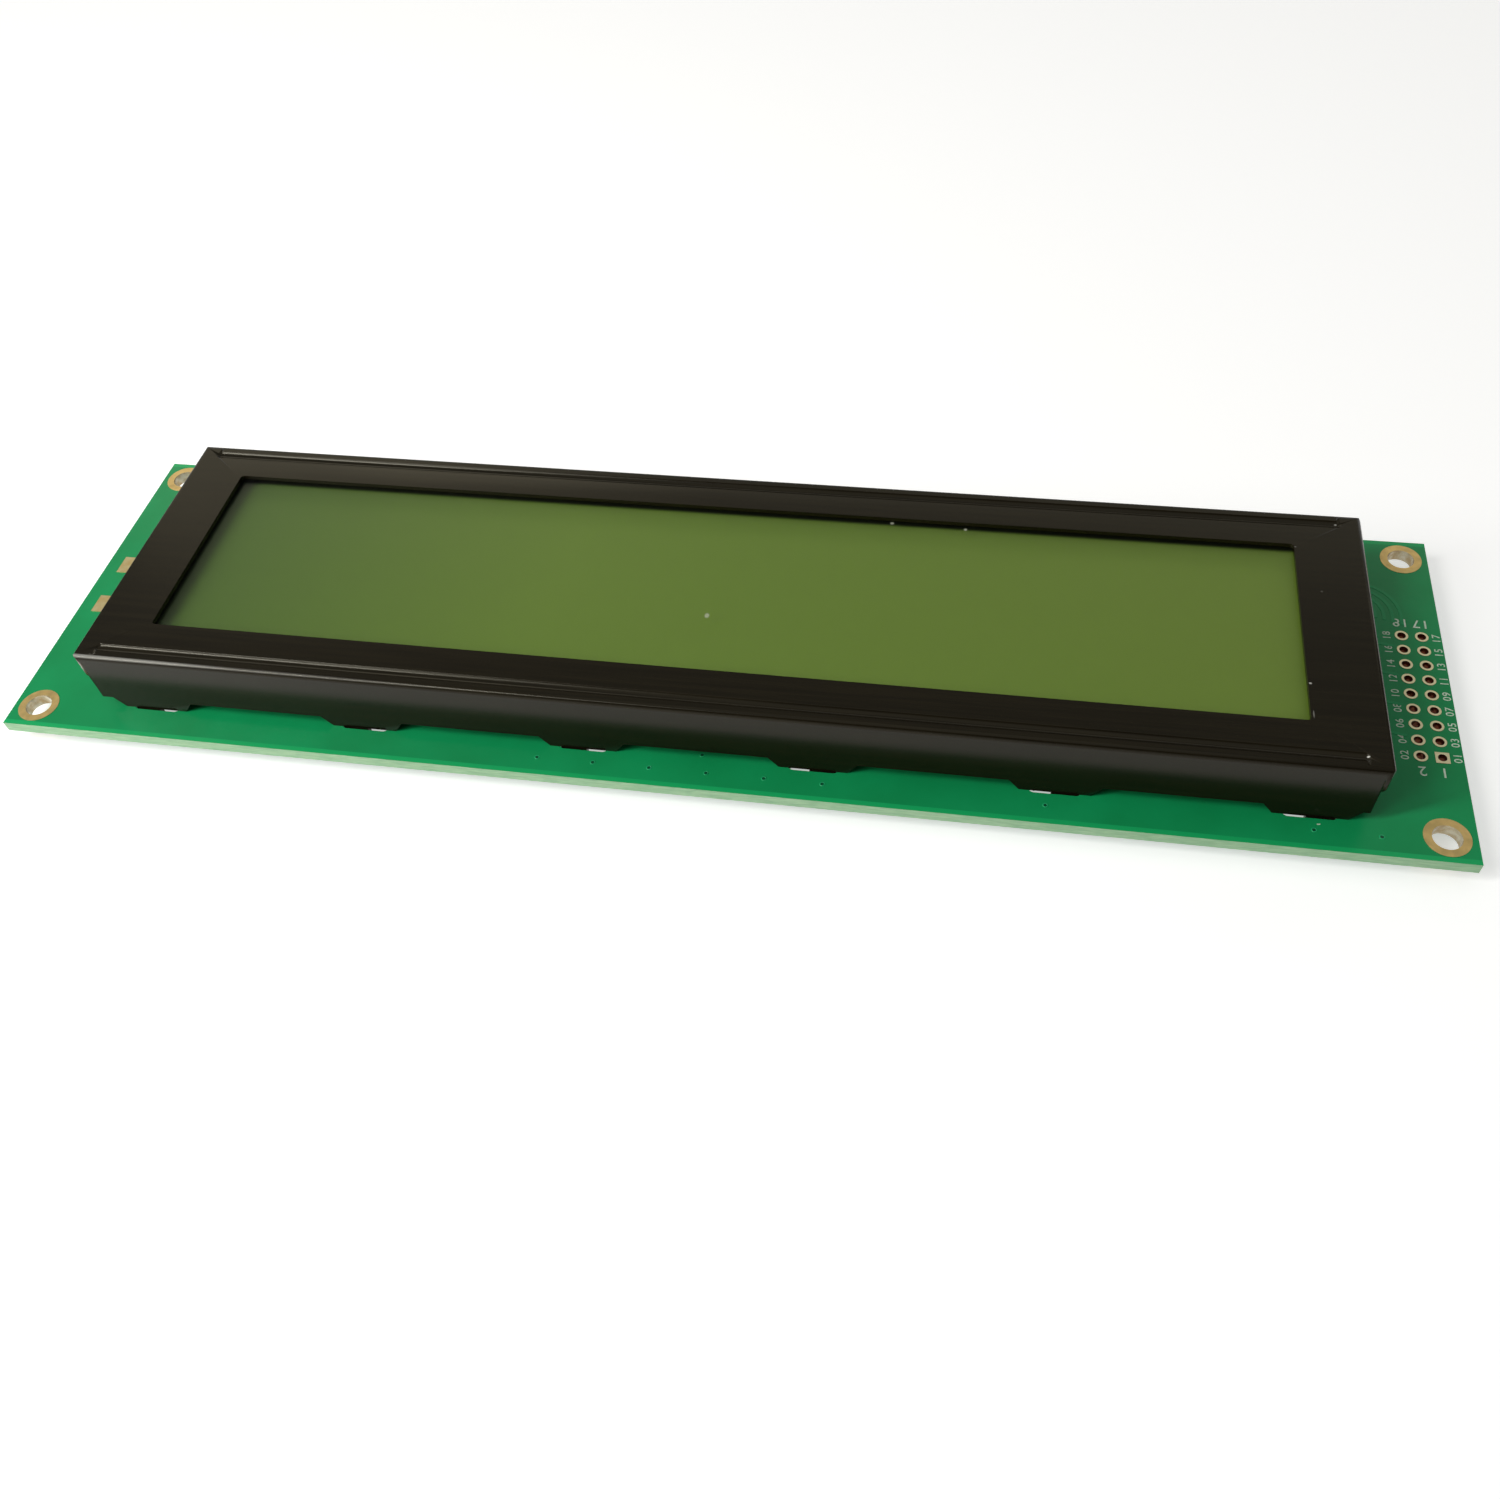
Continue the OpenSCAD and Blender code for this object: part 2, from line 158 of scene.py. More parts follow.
def table_and_backdrop():
    """A disc that bends up at its rim, in rings of points from the middle outwards."""
    profile = [(table_radius, 0.0)]
    for step in range(1, backdrop_bend_steps + 1):
        turn = math.pi / 2 * step / backdrop_bend_steps
        reach = table_radius + backdrop_bend * math.sin(turn)
        profile.append((reach, backdrop_bend * (1 - math.cos(turn))))
    profile.append((table_radius + backdrop_bend, backdrop_height))
    vertices = [(0, 0, low_corner.z)]
    for reach, rise in profile:
        for side in range(table_sides):
            turn = 2 * math.pi * side / table_sides
            vertices.append((reach * math.cos(turn), reach * math.sin(turn), low_corner.z + rise))
    faces = [(0, 1 + side, 1 + (side + 1) % table_sides) for side in range(table_sides)]
    for ring in range(len(profile) - 1):
        inner = 1 + ring * table_sides
        outer = inner + table_sides
        for side in range(table_sides):
            after = (side + 1) % table_sides
            faces.append((inner + side, outer + side, outer + after, inner + after))
    table = mesh_piece("table", vertices, faces, white_surface())
    table.data.polygons.foreach_set("use_smooth", [True] * len(faces))
    return table


table_and_backdrop()


def area_lamp(name, place, width, height, power, colour):
    """A soft oblong lamp that points at the middle of the module."""
    data = bpy.data.lights.new(name, "AREA")
    data.shape = "RECTANGLE"
    data.size = width
    data.size_y = height
    data.energy = power
    data.color = colour
    lamp = bpy.data.objects.new(name, data)
    lamp.location = place
    lamp.rotation_euler = (-Vector(place)).to_track_quat("-Z", "Y").to_euler()
    bpy.context.scene.collection.objects.link(lamp)


# Each lamp has a name, a place, a width, a height, a power in watts and a colour
for lamp_values in (
    ("window_lamp", (-0.33, -0.19, 0.30), 0.065, 0.38, 1.65, (1.0, 0.99, 0.96)),
    ("side_window_lamp", (-0.25, -0.30, 0.36), 0.09, 0.30, 0.44, (1.0, 0.99, 0.95)),
    ("ceiling_lamp", (0.02, 0.00, 0.80), 0.80, 0.62, 0.52, (1.0, 0.96, 0.86)),
    ("rear_lamp", (-0.50, 0.75, 0.50), 0.44, 0.30, 0.39, (1.0, 0.90, 0.66)),
    ("rear_strip", (0.07, 0.80, 0.58), 1.30, 0.20, 0.54, (1.0, 0.92, 0.72)),
):
    area_lamp(*lamp_values)

world = bpy.data.worlds.new("room")
bpy.context.scene.world = world
world.use_nodes = True
room_nodes, room_links = world.node_tree.nodes, world.node_tree.links
room = room_nodes["Background"]
room.inputs["Color"].default_value = room_tone
towards = room_nodes.new("ShaderNodeTexCoord")
around = room_nodes.new("ShaderNodeSeparateXYZ")
room_links.new(towards.outputs["Generated"], around.inputs[0])
dim_front = room_nodes.new("ShaderNodeMapRange")
dim_front.inputs["From Min"].default_value = dim_until
dim_front.inputs["From Max"].default_value = light_from
dim_front.inputs["To Min"].default_value = room_front
dim_front.inputs["To Max"].default_value = room_light
room_links.new(around.outputs["Y"], dim_front.inputs["Value"])
room_links.new(dim_front.outputs["Result"], room.inputs["Strength"])


# --- Circuit board -----------------------------------------------------------
# Glass-fibre laminate with copper on both faces under a green solder mask. The
# routed edges, the slots and the drilled holes show the bare, pale laminate.

board_low, board_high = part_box("circuit_board")
mask_green = (0.0060, 0.305, 0.098, 1)
mask_green_deep = (0.0050, 0.262, 0.080, 1)
mask_green_bare = (0.0085, 0.390, 0.118, 1)
mask_gloss = 0.32
mask_roughness = 0.26
copper_margin = 0.7 * MM
laminate_pale = (0.34, 0.62, 0.36, 1)
laminate_fibre = (0.50, 0.76, 0.48, 1)
laminate_roughness = 0.65
drift_from = 0.35
drift_to = 0.65


def object_coordinates(mat_nodes, mat_links, scale):
    """Object coordinates scaled so that one unit of a pattern is 1/scale metres."""
    coordinates = mat_nodes.new("ShaderNodeTexCoord")
    mapping = mat_nodes.new("ShaderNodeMapping")
    mapping.inputs["Scale"].default_value = scale
    mat_links.new(coordinates.outputs["Object"], mapping.inputs["Vector"])
    return mapping.outputs["Vector"]


def noise(mat_nodes, mat_links, scale, detail):
    """Soft noise whose patches are about 1/scale metres across, for each axis."""
    texture = mat_nodes.new("ShaderNodeTexNoise")
    texture.inputs["Scale"].default_value = 1.0
    texture.inputs["Detail"].default_value = detail
    mat_links.new(object_coordinates(mat_nodes, mat_links, scale), texture.inputs["Vector"])
    return texture.outputs["Fac"]


def colour_between(mat_nodes, mat_links, factor, first, second):
    """A colour that goes from the first to the second over the middle part of the factor."""
    ramp = mat_nodes.new("ShaderNodeValToRGB")
    ramp.color_ramp.elements[0].position = drift_from
    ramp.color_ramp.elements[0].color = first
    ramp.color_ramp.elements[1].position = drift_to
    ramp.color_ramp.elements[1].color = second
    mat_links.new(factor, ramp.inputs["Fac"])
    return ramp.outputs["Color"]


def blended(mat_nodes, mat_links, factor, first, second):
    """A colour that goes from the first to the second, as constants or other nodes' outputs."""
    blend = mat_nodes.new("ShaderNodeMix")
    blend.data_type = "RGBA"
    feed(mat_links, blend.inputs[0], factor)
    feed(mat_links, blend.inputs[6], first)
    feed(mat_links, blend.inputs[7], second)
    return blend.outputs[2]


def along_axis(mat_nodes, mat_links, direction, axis):
    """How far a direction or a place reaches along X, Y or Z."""
    axes = mat_nodes.new("ShaderNodeSeparateXYZ")
    mat_links.new(direction, axes.inputs[0])
    return axes.outputs[axis]


def bump(mat_nodes, mat_links, height, distance, strength=1.0):
    """A bump normal from a height between 0 and 1, as deep as the distance in metres."""
    node = mat_nodes.new("ShaderNodeBump")
    node.inputs["Strength"].default_value = strength
    node.inputs["Distance"].default_value = distance
    mat_links.new(height, node.inputs["Height"])
    return node.outputs["Normal"]


def mottled(mat_nodes, mat_links, first, second, grain, roughness, metallic=0.0):
    """A surface whose colour drifts between two tones, in patches of 1/grain metres."""
    shader = mat_nodes.new("ShaderNodeBsdfPrincipled")
    patches = noise(mat_nodes, mat_links, (grain, grain, grain), 3)
    mat_links.new(
        colour_between(mat_nodes, mat_links, patches, first, second), shader.inputs["Base Color"]
    )
    shader.inputs["Roughness"].default_value = roughness
    shader.inputs["Metallic"].default_value = metallic
    return shader


def is_face(mat_nodes, mat_links):
    """1 where the surface lies flat, as the faces of the board do, and 0 on upright walls."""
    geometry = mat_nodes.new("ShaderNodeNewGeometry")
    rise = along_axis(mat_nodes, mat_links, geometry.outputs["True Normal"], "Z")
    flatness = calculated(mat_nodes, mat_links, "ABSOLUTE", rise)
    return calculated(mat_nodes, mat_links, "GREATER_THAN", flatness, 0.5)


def faces_and_walls(mat_nodes, mat_links, face_shader, wall_shader, output):
    """One finish on flat faces, and another on upright walls."""
    mix = mat_nodes.new("ShaderNodeMixShader")
    mat_links.new(is_face(mat_nodes, mat_links), mix.inputs[0])
    mat_links.new(wall_shader.outputs[0], mix.inputs[1])
    mat_links.new(face_shader.outputs[0], mix.inputs[2])
    mat_links.new(mix.outputs[0], output.inputs["Surface"])


def green_mask(mat_nodes, mat_links, first, second):
    """Glossy green lacquer, a little rippled."""
    mask = mottled(mat_nodes, mat_links, first, second, 90, mask_roughness)
    mask.inputs["Specular IOR Level"].default_value = mask_gloss
    ripple = noise(mat_nodes, mat_links, (1500, 1500, 1500), 2)
    mat_links.new(bump(mat_nodes, mat_links, ripple, 0.02 * MM, 0.5), mask.inputs["Normal"])
    return mask


def beyond_copper(mat_nodes, mat_links):
    """1 in the narrow strips along the long edges that the copper doesn't reach, and 0 inside."""
    coordinates = mat_nodes.new("ShaderNodeTexCoord")
    across = along_axis(mat_nodes, mat_links, coordinates.outputs["Object"], "Y")
    distance = calculated(mat_nodes, mat_links, "ABSOLUTE", across)
    return calculated(mat_nodes, mat_links, "GREATER_THAN", distance, board_high.y - copper_margin)


def masked_laminate():
    """Green mask on the faces of the board, and the bare laminate on its edges and in its holes."""
    material, mat_nodes, mat_links, output = new_material("board_mask_and_laminate")
    mask = green_mask(mat_nodes, mat_links, mask_green, mask_green_deep)
    over_copper = mask.inputs["Base Color"].links[0].from_socket
    border = beyond_copper(mat_nodes, mat_links)
    mat_links.new(
        blended(mat_nodes, mat_links, border, over_copper, mask_green_bare), mask.inputs["Base Color"]
    )
    laminate = mat_nodes.new("ShaderNodeBsdfPrincipled")
    layers = noise(mat_nodes, mat_links, (500, 500, 7000), 2)
    mat_links.new(
        colour_between(mat_nodes, mat_links, layers, laminate_pale, laminate_fibre),
        laminate.inputs["Base Color"],
    )
    laminate.inputs["Roughness"].default_value = laminate_roughness
    sawn = noise(mat_nodes, mat_links, (3000, 3000, 9000), 2)
    mat_links.new(bump(mat_nodes, mat_links, sawn, 0.03 * MM, 0.6), laminate.inputs["Normal"])
    faces_and_walls(mat_nodes, mat_links, mask, laminate, output)
    return material


def finish_node(node_name, material):
    """Gives a CAD node its finish, on the mesh that it came with."""
    mesh = nodes[node_name].data
    mesh.materials.clear()
    mesh.materials.append(material)


finish_node("circuit_board", masked_laminate())


# --- Tracks and vias ---------------------------------------------------------
# Copper tracks stand a little proud under the lacquer and look paler than the bare
# board. Vias are small plated holes that the lacquer closes with a shallow dimple; the
# dimple is drawn as a flat disc with painted shade, inside a ring of lacquered copper.

track_width = 0.45 * MM
track_height = 0.035 * MM
track_green = (0.0095, 0.350, 0.120, 1)
track_green_deep = (0.0075, 0.305, 0.102, 1)
via_radius = 0.36 * MM
via_height = 0.05 * MM
via_ring_share = 0.78
via_rim_share = 0.22
via_sides = 20
via_rim_sides = 8
via_pale = (0.0180, 0.420, 0.170, 1)
painted_dimple_shade = (0.0025, 0.085, 0.032, 1)
front_face = board_high.z
rear_face = board_low.z


def node_input(tree, name, kind, value):
    """A named input of a geometry tree, with its default value."""
    socket = tree.interface.new_socket(name=name, in_out="INPUT", socket_type=kind)
    if value is not None:
        socket.default_value = value
    return socket.identifier


def geometry_tree(name):
    """An empty geometry tree with its way in and its way out."""
    tree = bpy.data.node_groups.new(name, "GeometryNodeTree")
    tree.interface.new_socket(name="Geometry", in_out="INPUT", socket_type="NodeSocketGeometry")
    tree.interface.new_socket(name="Geometry", in_out="OUTPUT", socket_type="NodeSocketGeometry")
    way_in = tree.nodes.new("NodeGroupInput")
    way_out = tree.nodes.new("NodeGroupOutput")
    return tree, way_in, way_out


def made_by_tree(name, vertices, edges, tree, inputs):
    """Runs a geometry tree over points and edges, and keeps the result as a plain mesh piece."""
    seed_mesh = bpy.data.meshes.new(name + "_seed")
    seed_mesh.from_pydata(vertices, edges, [])
    seed = bpy.data.objects.new(name + "_seed", seed_mesh)
    bpy.context.scene.collection.objects.link(seed)
    modifier = seed.modifiers.new("tree", "NODES")
    modifier.node_group = tree
    for identifier, value in inputs.items():
        modifier[identifier] = value
    bpy.context.view_layer.update()
    mesh = bpy.data.meshes.new_from_object(seed.evaluated_get(bpy.context.evaluated_depsgraph_get()))
    mesh.name = name
    bpy.data.objects.remove(seed)
    piece = bpy.data.objects.new(name, mesh)
    bpy.context.scene.collection.objects.link(piece)
    return piece


def track_tree():
    """Sweeps a flat strip of copper along each route."""
    tree, way_in, way_out = geometry_tree("tracks_from_routes")
    inputs = {
        "width": node_input(tree, "Width", "NodeSocketFloat", track_width),
        "height": node_input(tree, "Height", "NodeSocketFloat", track_height),
        "finish": node_input(tree, "Finish", "NodeSocketMaterial", None),
    }
    to_curve = tree.nodes.new("GeometryNodeMeshToCurve")
    strip = tree.nodes.new("GeometryNodeCurvePrimitiveQuadrilateral")
    sweep = tree.nodes.new("GeometryNodeCurveToMesh")
    flat_sides = tree.nodes.new("GeometryNodeSetShadeSmooth")
    flat_sides.inputs["Shade Smooth"].default_value = False
    realize = tree.nodes.new("GeometryNodeRealizeInstances")
    finish = tree.nodes.new("GeometryNodeSetMaterial")
    sweep.inputs["Fill Caps"].default_value = True
    links = tree.links
    links.new(way_in.outputs["Geometry"], to_curve.inputs["Mesh"])
    links.new(way_in.outputs["Width"], strip.inputs["Width"])
    links.new(way_in.outputs["Height"], strip.inputs["Height"])
    links.new(to_curve.outputs["Curve"], sweep.inputs["Curve"])
    links.new(strip.outputs["Curve"], sweep.inputs["Profile Curve"])
    links.new(sweep.outputs["Mesh"], flat_sides.inputs["Geometry"])
    links.new(flat_sides.outputs["Geometry"], realize.inputs["Geometry"])
    links.new(realize.outputs["Geometry"], finish.inputs["Geometry"])
    links.new(way_in.outputs["Finish"], finish.inputs["Material"])
    links.new(finish.outputs["Geometry"], way_out.inputs["Geometry"])
    return tree, inputs


def via_tree():
    """Puts one shallow ring at each point, with a flat disc of painted shade for its dimple."""
    tree, way_in, way_out = geometry_tree("vias_on_points")
    inputs = {
        "radius": node_input(tree, "Radius", "NodeSocketFloat", via_radius),
        "height": node_input(tree, "Height", "NodeSocketFloat", via_height),
        "finish": node_input(tree, "Finish", "NodeSocketMaterial", None),
        "dimple": node_input(tree, "Dimple Finish", "NodeSocketMaterial", None),
    }
    circle = tree.nodes.new("GeometryNodeCurvePrimitiveCircle")
    circle.inputs["Resolution"].default_value = via_sides
    rim = tree.nodes.new("GeometryNodeCurvePrimitiveCircle")
    rim.inputs["Resolution"].default_value = via_rim_sides
    sweep = tree.nodes.new("GeometryNodeCurveToMesh")
    flatten = tree.nodes.new("GeometryNodeTransform")
    plug = tree.nodes.new("GeometryNodeMeshCylinder")
    plug.inputs["Vertices"].default_value = via_sides
    join = tree.nodes.new("GeometryNodeJoinGeometry")
    place = tree.nodes.new("GeometryNodeInstanceOnPoints")
    realize = tree.nodes.new("GeometryNodeRealizeInstances")
    rim_finish = tree.nodes.new("GeometryNodeSetMaterial")
    plug_finish = tree.nodes.new("GeometryNodeSetMaterial")
    scale = tree.nodes.new("ShaderNodeCombineXYZ")
    scale.inputs["X"].default_value = 1
    scale.inputs["Y"].default_value = 1
    links = tree.links
    radius = way_in.outputs["Radius"]
    ring_radius = calculated(tree.nodes, links, "MULTIPLY", radius, via_ring_share)
    rim_radius = calculated(tree.nodes, links, "MULTIPLY", radius, via_rim_share)
    squeeze = calculated(tree.nodes, links, "DIVIDE", way_in.outputs["Height"], rim_radius)
    links.new(squeeze, scale.inputs["Z"])
    links.new(ring_radius, circle.inputs["Radius"])
    links.new(rim_radius, rim.inputs["Radius"])
    links.new(circle.outputs["Curve"], sweep.inputs["Curve"])
    links.new(rim.outputs["Curve"], sweep.inputs["Profile Curve"])
    links.new(sweep.outputs["Mesh"], flatten.inputs["Geometry"])
    links.new(scale.outputs[0], flatten.inputs["Scale"])
    links.new(ring_radius, plug.inputs["Radius"])
    links.new(way_in.outputs["Height"], plug.inputs["Depth"])
    links.new(flatten.outputs["Geometry"], rim_finish.inputs["Geometry"])
    links.new(way_in.outputs["Finish"], rim_finish.inputs["Material"])
    links.new(plug.outputs["Mesh"], plug_finish.inputs["Geometry"])
    links.new(way_in.outputs["Dimple Finish"], plug_finish.inputs["Material"])
    links.new(rim_finish.outputs["Geometry"], join.inputs["Geometry"])
    links.new(plug_finish.outputs["Geometry"], join.inputs["Geometry"])
    links.new(way_in.outputs["Geometry"], place.inputs["Points"])
    links.new(join.outputs["Geometry"], place.inputs["Instance"])
    links.new(place.outputs["Instances"], realize.inputs["Geometry"])
    links.new(realize.outputs["Geometry"], way_out.inputs["Geometry"])
    return tree, inputs


def lacquered_copper(name, first, second):
    """Green mask in two tones, as it looks over raised copper."""
    material, mat_nodes, mat_links, output = new_material(name)
    mask = green_mask(mat_nodes, mat_links, first, second)
    mat_links.new(mask.outputs[0], output.inputs["Surface"])
    return material


def bend(centre, radius, start, end, steps=8):
    """Points on an arc round a centre, from one angle to another, in degrees."""
    x, y = centre
    turns = [math.radians(start + (end - start) * step / steps) for step in range(steps + 1)]
    return [(x + radius * math.cos(turn), y + radius * math.sin(turn)) for turn in turns]


def routed(routes, height):
    """Vertices and edges of routes given in millimetres, at a height in metres."""
    vertices, edges = [], []
    for route in routes:
        for step, (x, y) in enumerate(route):
            if step:
                edges.append((len(vertices) - 1, len(vertices)))
            vertices.append((x * MM, y * MM, height))
    return vertices, edges


# Places on the board are in millimetres from its middle
header_low, header_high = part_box("header_pads")
header_pitch = 2.54
header_ring_radius = 0.9
outer_column = header_high.x / MM - header_ring_radius
inner_column = outer_column - header_pitch
header_middle = (header_low.y + header_high.y) / 2 / MM
pin_rows = 9
ring_clearance = 1.2


def pin_y(row):
    """Height up the board of a row of pins, counted from the front."""
    return header_middle + (row - (pin_rows - 1) / 2) * header_pitch


# On the front, four lanes bend round one corner behind the header, and short tracks leave
# every second pin of the inner column. All of them end under the bezel.
arc_lanes = 4
arc_x, arc_y = 84.6, 12.6
first_arc_radius = 2.4
arc_pitch = 1.1
arc_tail = 0.7
arc_tail_growth = 0.35
pin_exit_x = 86.5
pin_exit_y = 0.6
pin_track_y = 1.0
under_bezel = 80
front_routes = []
for lane in range(arc_lanes):
    radius = first_arc_radius + arc_pitch * lane
    lane_start = (under_bezel, arc_y + radius)
    lane_end = (arc_x + radius, arc_y - arc_tail - arc_tail_growth * lane)
    front_routes.append([lane_start] + bend((arc_x, arc_y), radius, 90, 0) + [lane_end])
for row in range(1, pin_rows - 1, 2):
    pin_end = (inner_column - ring_clearance, pin_y(row) + pin_exit_y)
    track_y = pin_y(row) + pin_track_y
    front_routes.append([pin_end, (pin_exit_x, track_y), (under_bezel, track_y)])

# On the rear, one lane runs from each row of pins along the middle of the board. Short
# tracks fan out towards the long edges beside the chips.
lane_pitch = 0.9
lanes_middle = -0.7
lanes_start, lanes_end = 66, -70
gather_x, gathered_x = 86.6, 84.2
gathered_share = 0.55
gathered_gap = 0.1
fan_chips = (56, 8, -38)
fan_lanes = 13
fan_near, fan_far = 17.6, 20.2
fan_stub = 0.8
fan_start_near, fan_start_far = -7.2, -15.2
fan_pitch_near, fan_pitch_far = 1.2, 2.54
rear_routes = []
for row in range(pin_rows):
    y = pin_y(row)
    lane = row - (pin_rows - 1) / 2
    lane_start = (lanes_start, lane * lane_pitch + lanes_middle)
    lane_end = (lanes_end, lane * lane_pitch + lanes_middle)
    gathered = (gathered_x, y * gathered_share + lane * gathered_gap)
    rear_routes.append([(inner_column - ring_clearance, y), (gather_x, y), gathered, lane_start])
    rear_routes.append([lane_start, lane_end])
for chip_x in fan_chips:
    for side in (-1, 1):
        near = lanes_middle + side * fan_near
        far = lanes_middle + side * fan_far
        for lane in range(fan_lanes):
            x = chip_x + fan_start_near + fan_pitch_near * lane
            spread_x = chip_x + fan_start_far + fan_pitch_far * lane
            rear_routes.append([(x, near - side * fan_stub), (x, near), (spread_x, far)])

board_copper = lacquered_copper("lacquered_copper", track_green, track_green_deep)
via_rim = lacquered_copper("via_rim", via_pale, track_green)
# The vias' dimples are painted shade: a dark disc instead of a hollow.
shaded_via_centre = lacquered_copper("shaded_via_centre", painted_dimple_shade, painted_dimple_shade)
tracks, track_inputs = track_tree()
for track_name, routes, height in (
    ("front_tracks", front_routes, front_face + track_height / 2),
    ("rear_tracks", rear_routes, rear_face - track_height / 2),
):
    vertices, edges = routed(routes, height)
    track_piece = made_by_tree(
        track_name, vertices, edges, tracks,
        {track_inputs["width"]: track_width, track_inputs["finish"]: board_copper},
    )
    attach(track_piece, "root")

via_row_start = -19.9
via_row_pitch = 7.45
via_row_y = -24.3
via_row = [(via_row_start + via_row_pitch * step, via_row_y) for step in range(6)]
lone_front_vias = [(1.4, -21.5), (44.9, -24.3), (76.4, -24.2), (84.1, -24.3), (86.6, 14.2), (84.9, 9.4)]
lone_rear_vias = [(x, y) for x in (36, 29, -13, -60, 69) for y in (-19.5, 18.1)]
vias, via_inputs = via_tree()
for via_name, places, height in (
    ("front_vias", via_row + lone_front_vias, front_face),
    ("rear_vias", via_row + lone_rear_vias, rear_face),
):
    via_piece = made_by_tree(
        via_name, [(x * MM, y * MM, height) for x, y in places], [], vias,
        {
            via_inputs["radius"]: via_radius,
            via_inputs["finish"]: via_rim,
            via_inputs["dimple"]: shaded_via_centre,
        },
    )
    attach(via_piece, "root")


# --- Gold on the board -------------------------------------------------------
# The linings and rings of the holes, the bare pads and the contact fingers: copper
# with nickel and a flash of gold, dull and uneven. Inside the pin holes it is dark.

gold_bright = (0.88, 0.62, 0.24, 1)
gold_dull = (0.66, 0.47, 0.18, 1)
gold_pale = (0.92, 0.82, 0.52, 1)
gold_matt = (0.74, 0.62, 0.33, 1)
lining_grey = (0.62, 0.58, 0.46, 1)
lining_brown = (0.42, 0.31, 0.17, 1)
lining_dark = (0.16, 0.045, 0.020, 1)
lining_deep = (0.09, 0.025, 0.012, 1)
gold_roughness = 0.34
gold_metallic = 0.70
lining_roughness = 0.16
lining_metallic = 0.90
dent_depth = 0.14 * MM


def plated_gold(name, walls, faces, grain_depth):
    """Gold in two tones on the faces of the board, and the lining's two tones in the holes."""
    material, mat_nodes, mat_links, output = new_material(name)
    gold = mottled(mat_nodes, mat_links, faces[0], faces[1], 700, gold_roughness, gold_metallic)
    grain = noise(mat_nodes, mat_links, (6000, 6000, 6000), 3)
    mat_links.new(bump(mat_nodes, mat_links, grain, grain_depth, 0.7), gold.inputs["Normal"])
    lining = mottled(mat_nodes, mat_links, walls[0], walls[1], 900, lining_roughness, lining_metallic)
    dents = noise(mat_nodes, mat_links, (900, 900, 900), 2)
    mat_links.new(bump(mat_nodes, mat_links, dents, dent_depth, 0.8), lining.inputs["Normal"])
    faces_and_walls(mat_nodes, mat_links, gold, lining, output)
    return material


finish_node(
    "mounting_pads",
    plated_gold("gold_mounting", (lining_brown, lining_grey), (gold_dull, gold_bright), 0.01 * MM),
)
finish_node(
    "header_pads",
    plated_gold("gold_header", (lining_deep, lining_dark), (gold_pale, gold_pale), 0.01 * MM),
)
rough_gold = plated_gold("gold_pads", (gold_dull, gold_bright), (gold_dull, gold_matt), 0.05 * MM)
finish_node("backlight_pads", rough_gold)
finish_node("contact_fingers", rough_gold)


# --- Print on the board ------------------------------------------------------
# White ink, thinly printed: the numbers of the corner pins stand at the ends of the
# header, turned half round, and a small pin number lies beside each pin. A stray dash
# of ink lies by the front edge.

ink_white = (0.80, 0.90, 0.78, 1)
ink_thin = (0.50, 0.68, 0.50, 1)
ink_thickness = 0.02 * MM
figure_height = 1.45 * MM
small_figure_height = 1.0 * MM
figure_from_pin = 2.35 * MM
small_figure_from_pin = 1.85 * MM
letter_spacing = 1.1
stroke_width_change = 0.006


def white_ink():
    """Matt ink through which the green shows a little in patches."""
    material, mat_nodes, mat_links, output = new_material("white_ink")
    ink = mottled(mat_nodes, mat_links, ink_thin, ink_white, 3500, 0.6)
    mat_links.new(ink.outputs[0], output.inputs["Surface"])
    return material


def figures(text, height, place, turn):
    """Vertices and faces of a printed number of that height, centred on the place and turned."""
    curve = bpy.data.curves.new("figures", "FONT")
    curve.body = text
    curve.offset = stroke_width_change
    curve.space_character = letter_spacing
    curve.resolution_u = 3
    holder = bpy.data.objects.new("figures", curve)
    bpy.context.scene.collection.objects.link(holder)
    bpy.context.view_layer.update()
    flat = bpy.data.meshes.new_from_object(holder.evaluated_get(bpy.context.evaluated_depsgraph_get()))
    bpy.data.objects.remove(holder)
    xs = [corner.co.x for corner in flat.vertices]
    ys = [corner.co.y for corner in flat.vertices]
    scale = height / (max(ys) - min(ys))
    middle = Vector(((max(xs) + min(xs)) / 2, (max(ys) + min(ys)) / 2, 0))
    spin = Matrix.Rotation(turn, 3, "Z")
    points = [spin @ ((corner.co - middle) * scale) + place for corner in flat.vertices]
    return points, [tuple(face.vertices) for face in flat.polygons]


def printed(name, patches, material):
    """One mesh of many flat patches, each as thick as the ink."""
    vertices, faces = [], []
    for points, polygons in patches:
        start = len(vertices)
        vertices += points
        faces += [tuple(start + corner for corner in polygon) for polygon in polygons]
    piece = mesh_piece(name, vertices, faces, material)
    solid = piece.modifiers.new("thickness", "SOLIDIFY")
    solid.thickness = ink_thickness
    solid.offset = 1
    return piece


def header_pin(number):
    """Centre of a pin on the front of the board: odd pins are in the outer column, 1 in front."""
    x = outer_column if number % 2 else inner_column
    return Vector((x * MM, pin_y((number - 1) // 2) * MM, front_face))


numbers = []
for number, beside in ((1, -1), (2, -1), (17, 1), (18, 1)):
    place = header_pin(number) + Vector((0, beside * figure_from_pin, 0))
    numbers.append(figures(str(number), figure_height, place, math.pi))
for number in range(1, 2 * pin_rows + 1):
    outward = 1 if number % 2 else -1
    place = header_pin(number) + Vector((outward * small_figure_from_pin, 0, 0))
    numbers.append(figures(f"{number:02d}", small_figure_height, place, math.pi / 2))
dash = [(76.80, -23.40), (77.20, -23.34), (77.18, -23.22), (76.78, -23.28)]
numbers.append(([Vector((x * MM, y * MM, front_face)) for x, y in dash], [(0, 1, 2, 3)]))
pin_numbers = printed("pin_numbers", numbers, white_ink())
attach(pin_numbers, "root")


# --- Controller and driver chips --------------------------------------------
# Bare silicon chips are bonded to the back of the board, and each is buried under
# a drop of black epoxy that has run out to a thin, glossy rim.

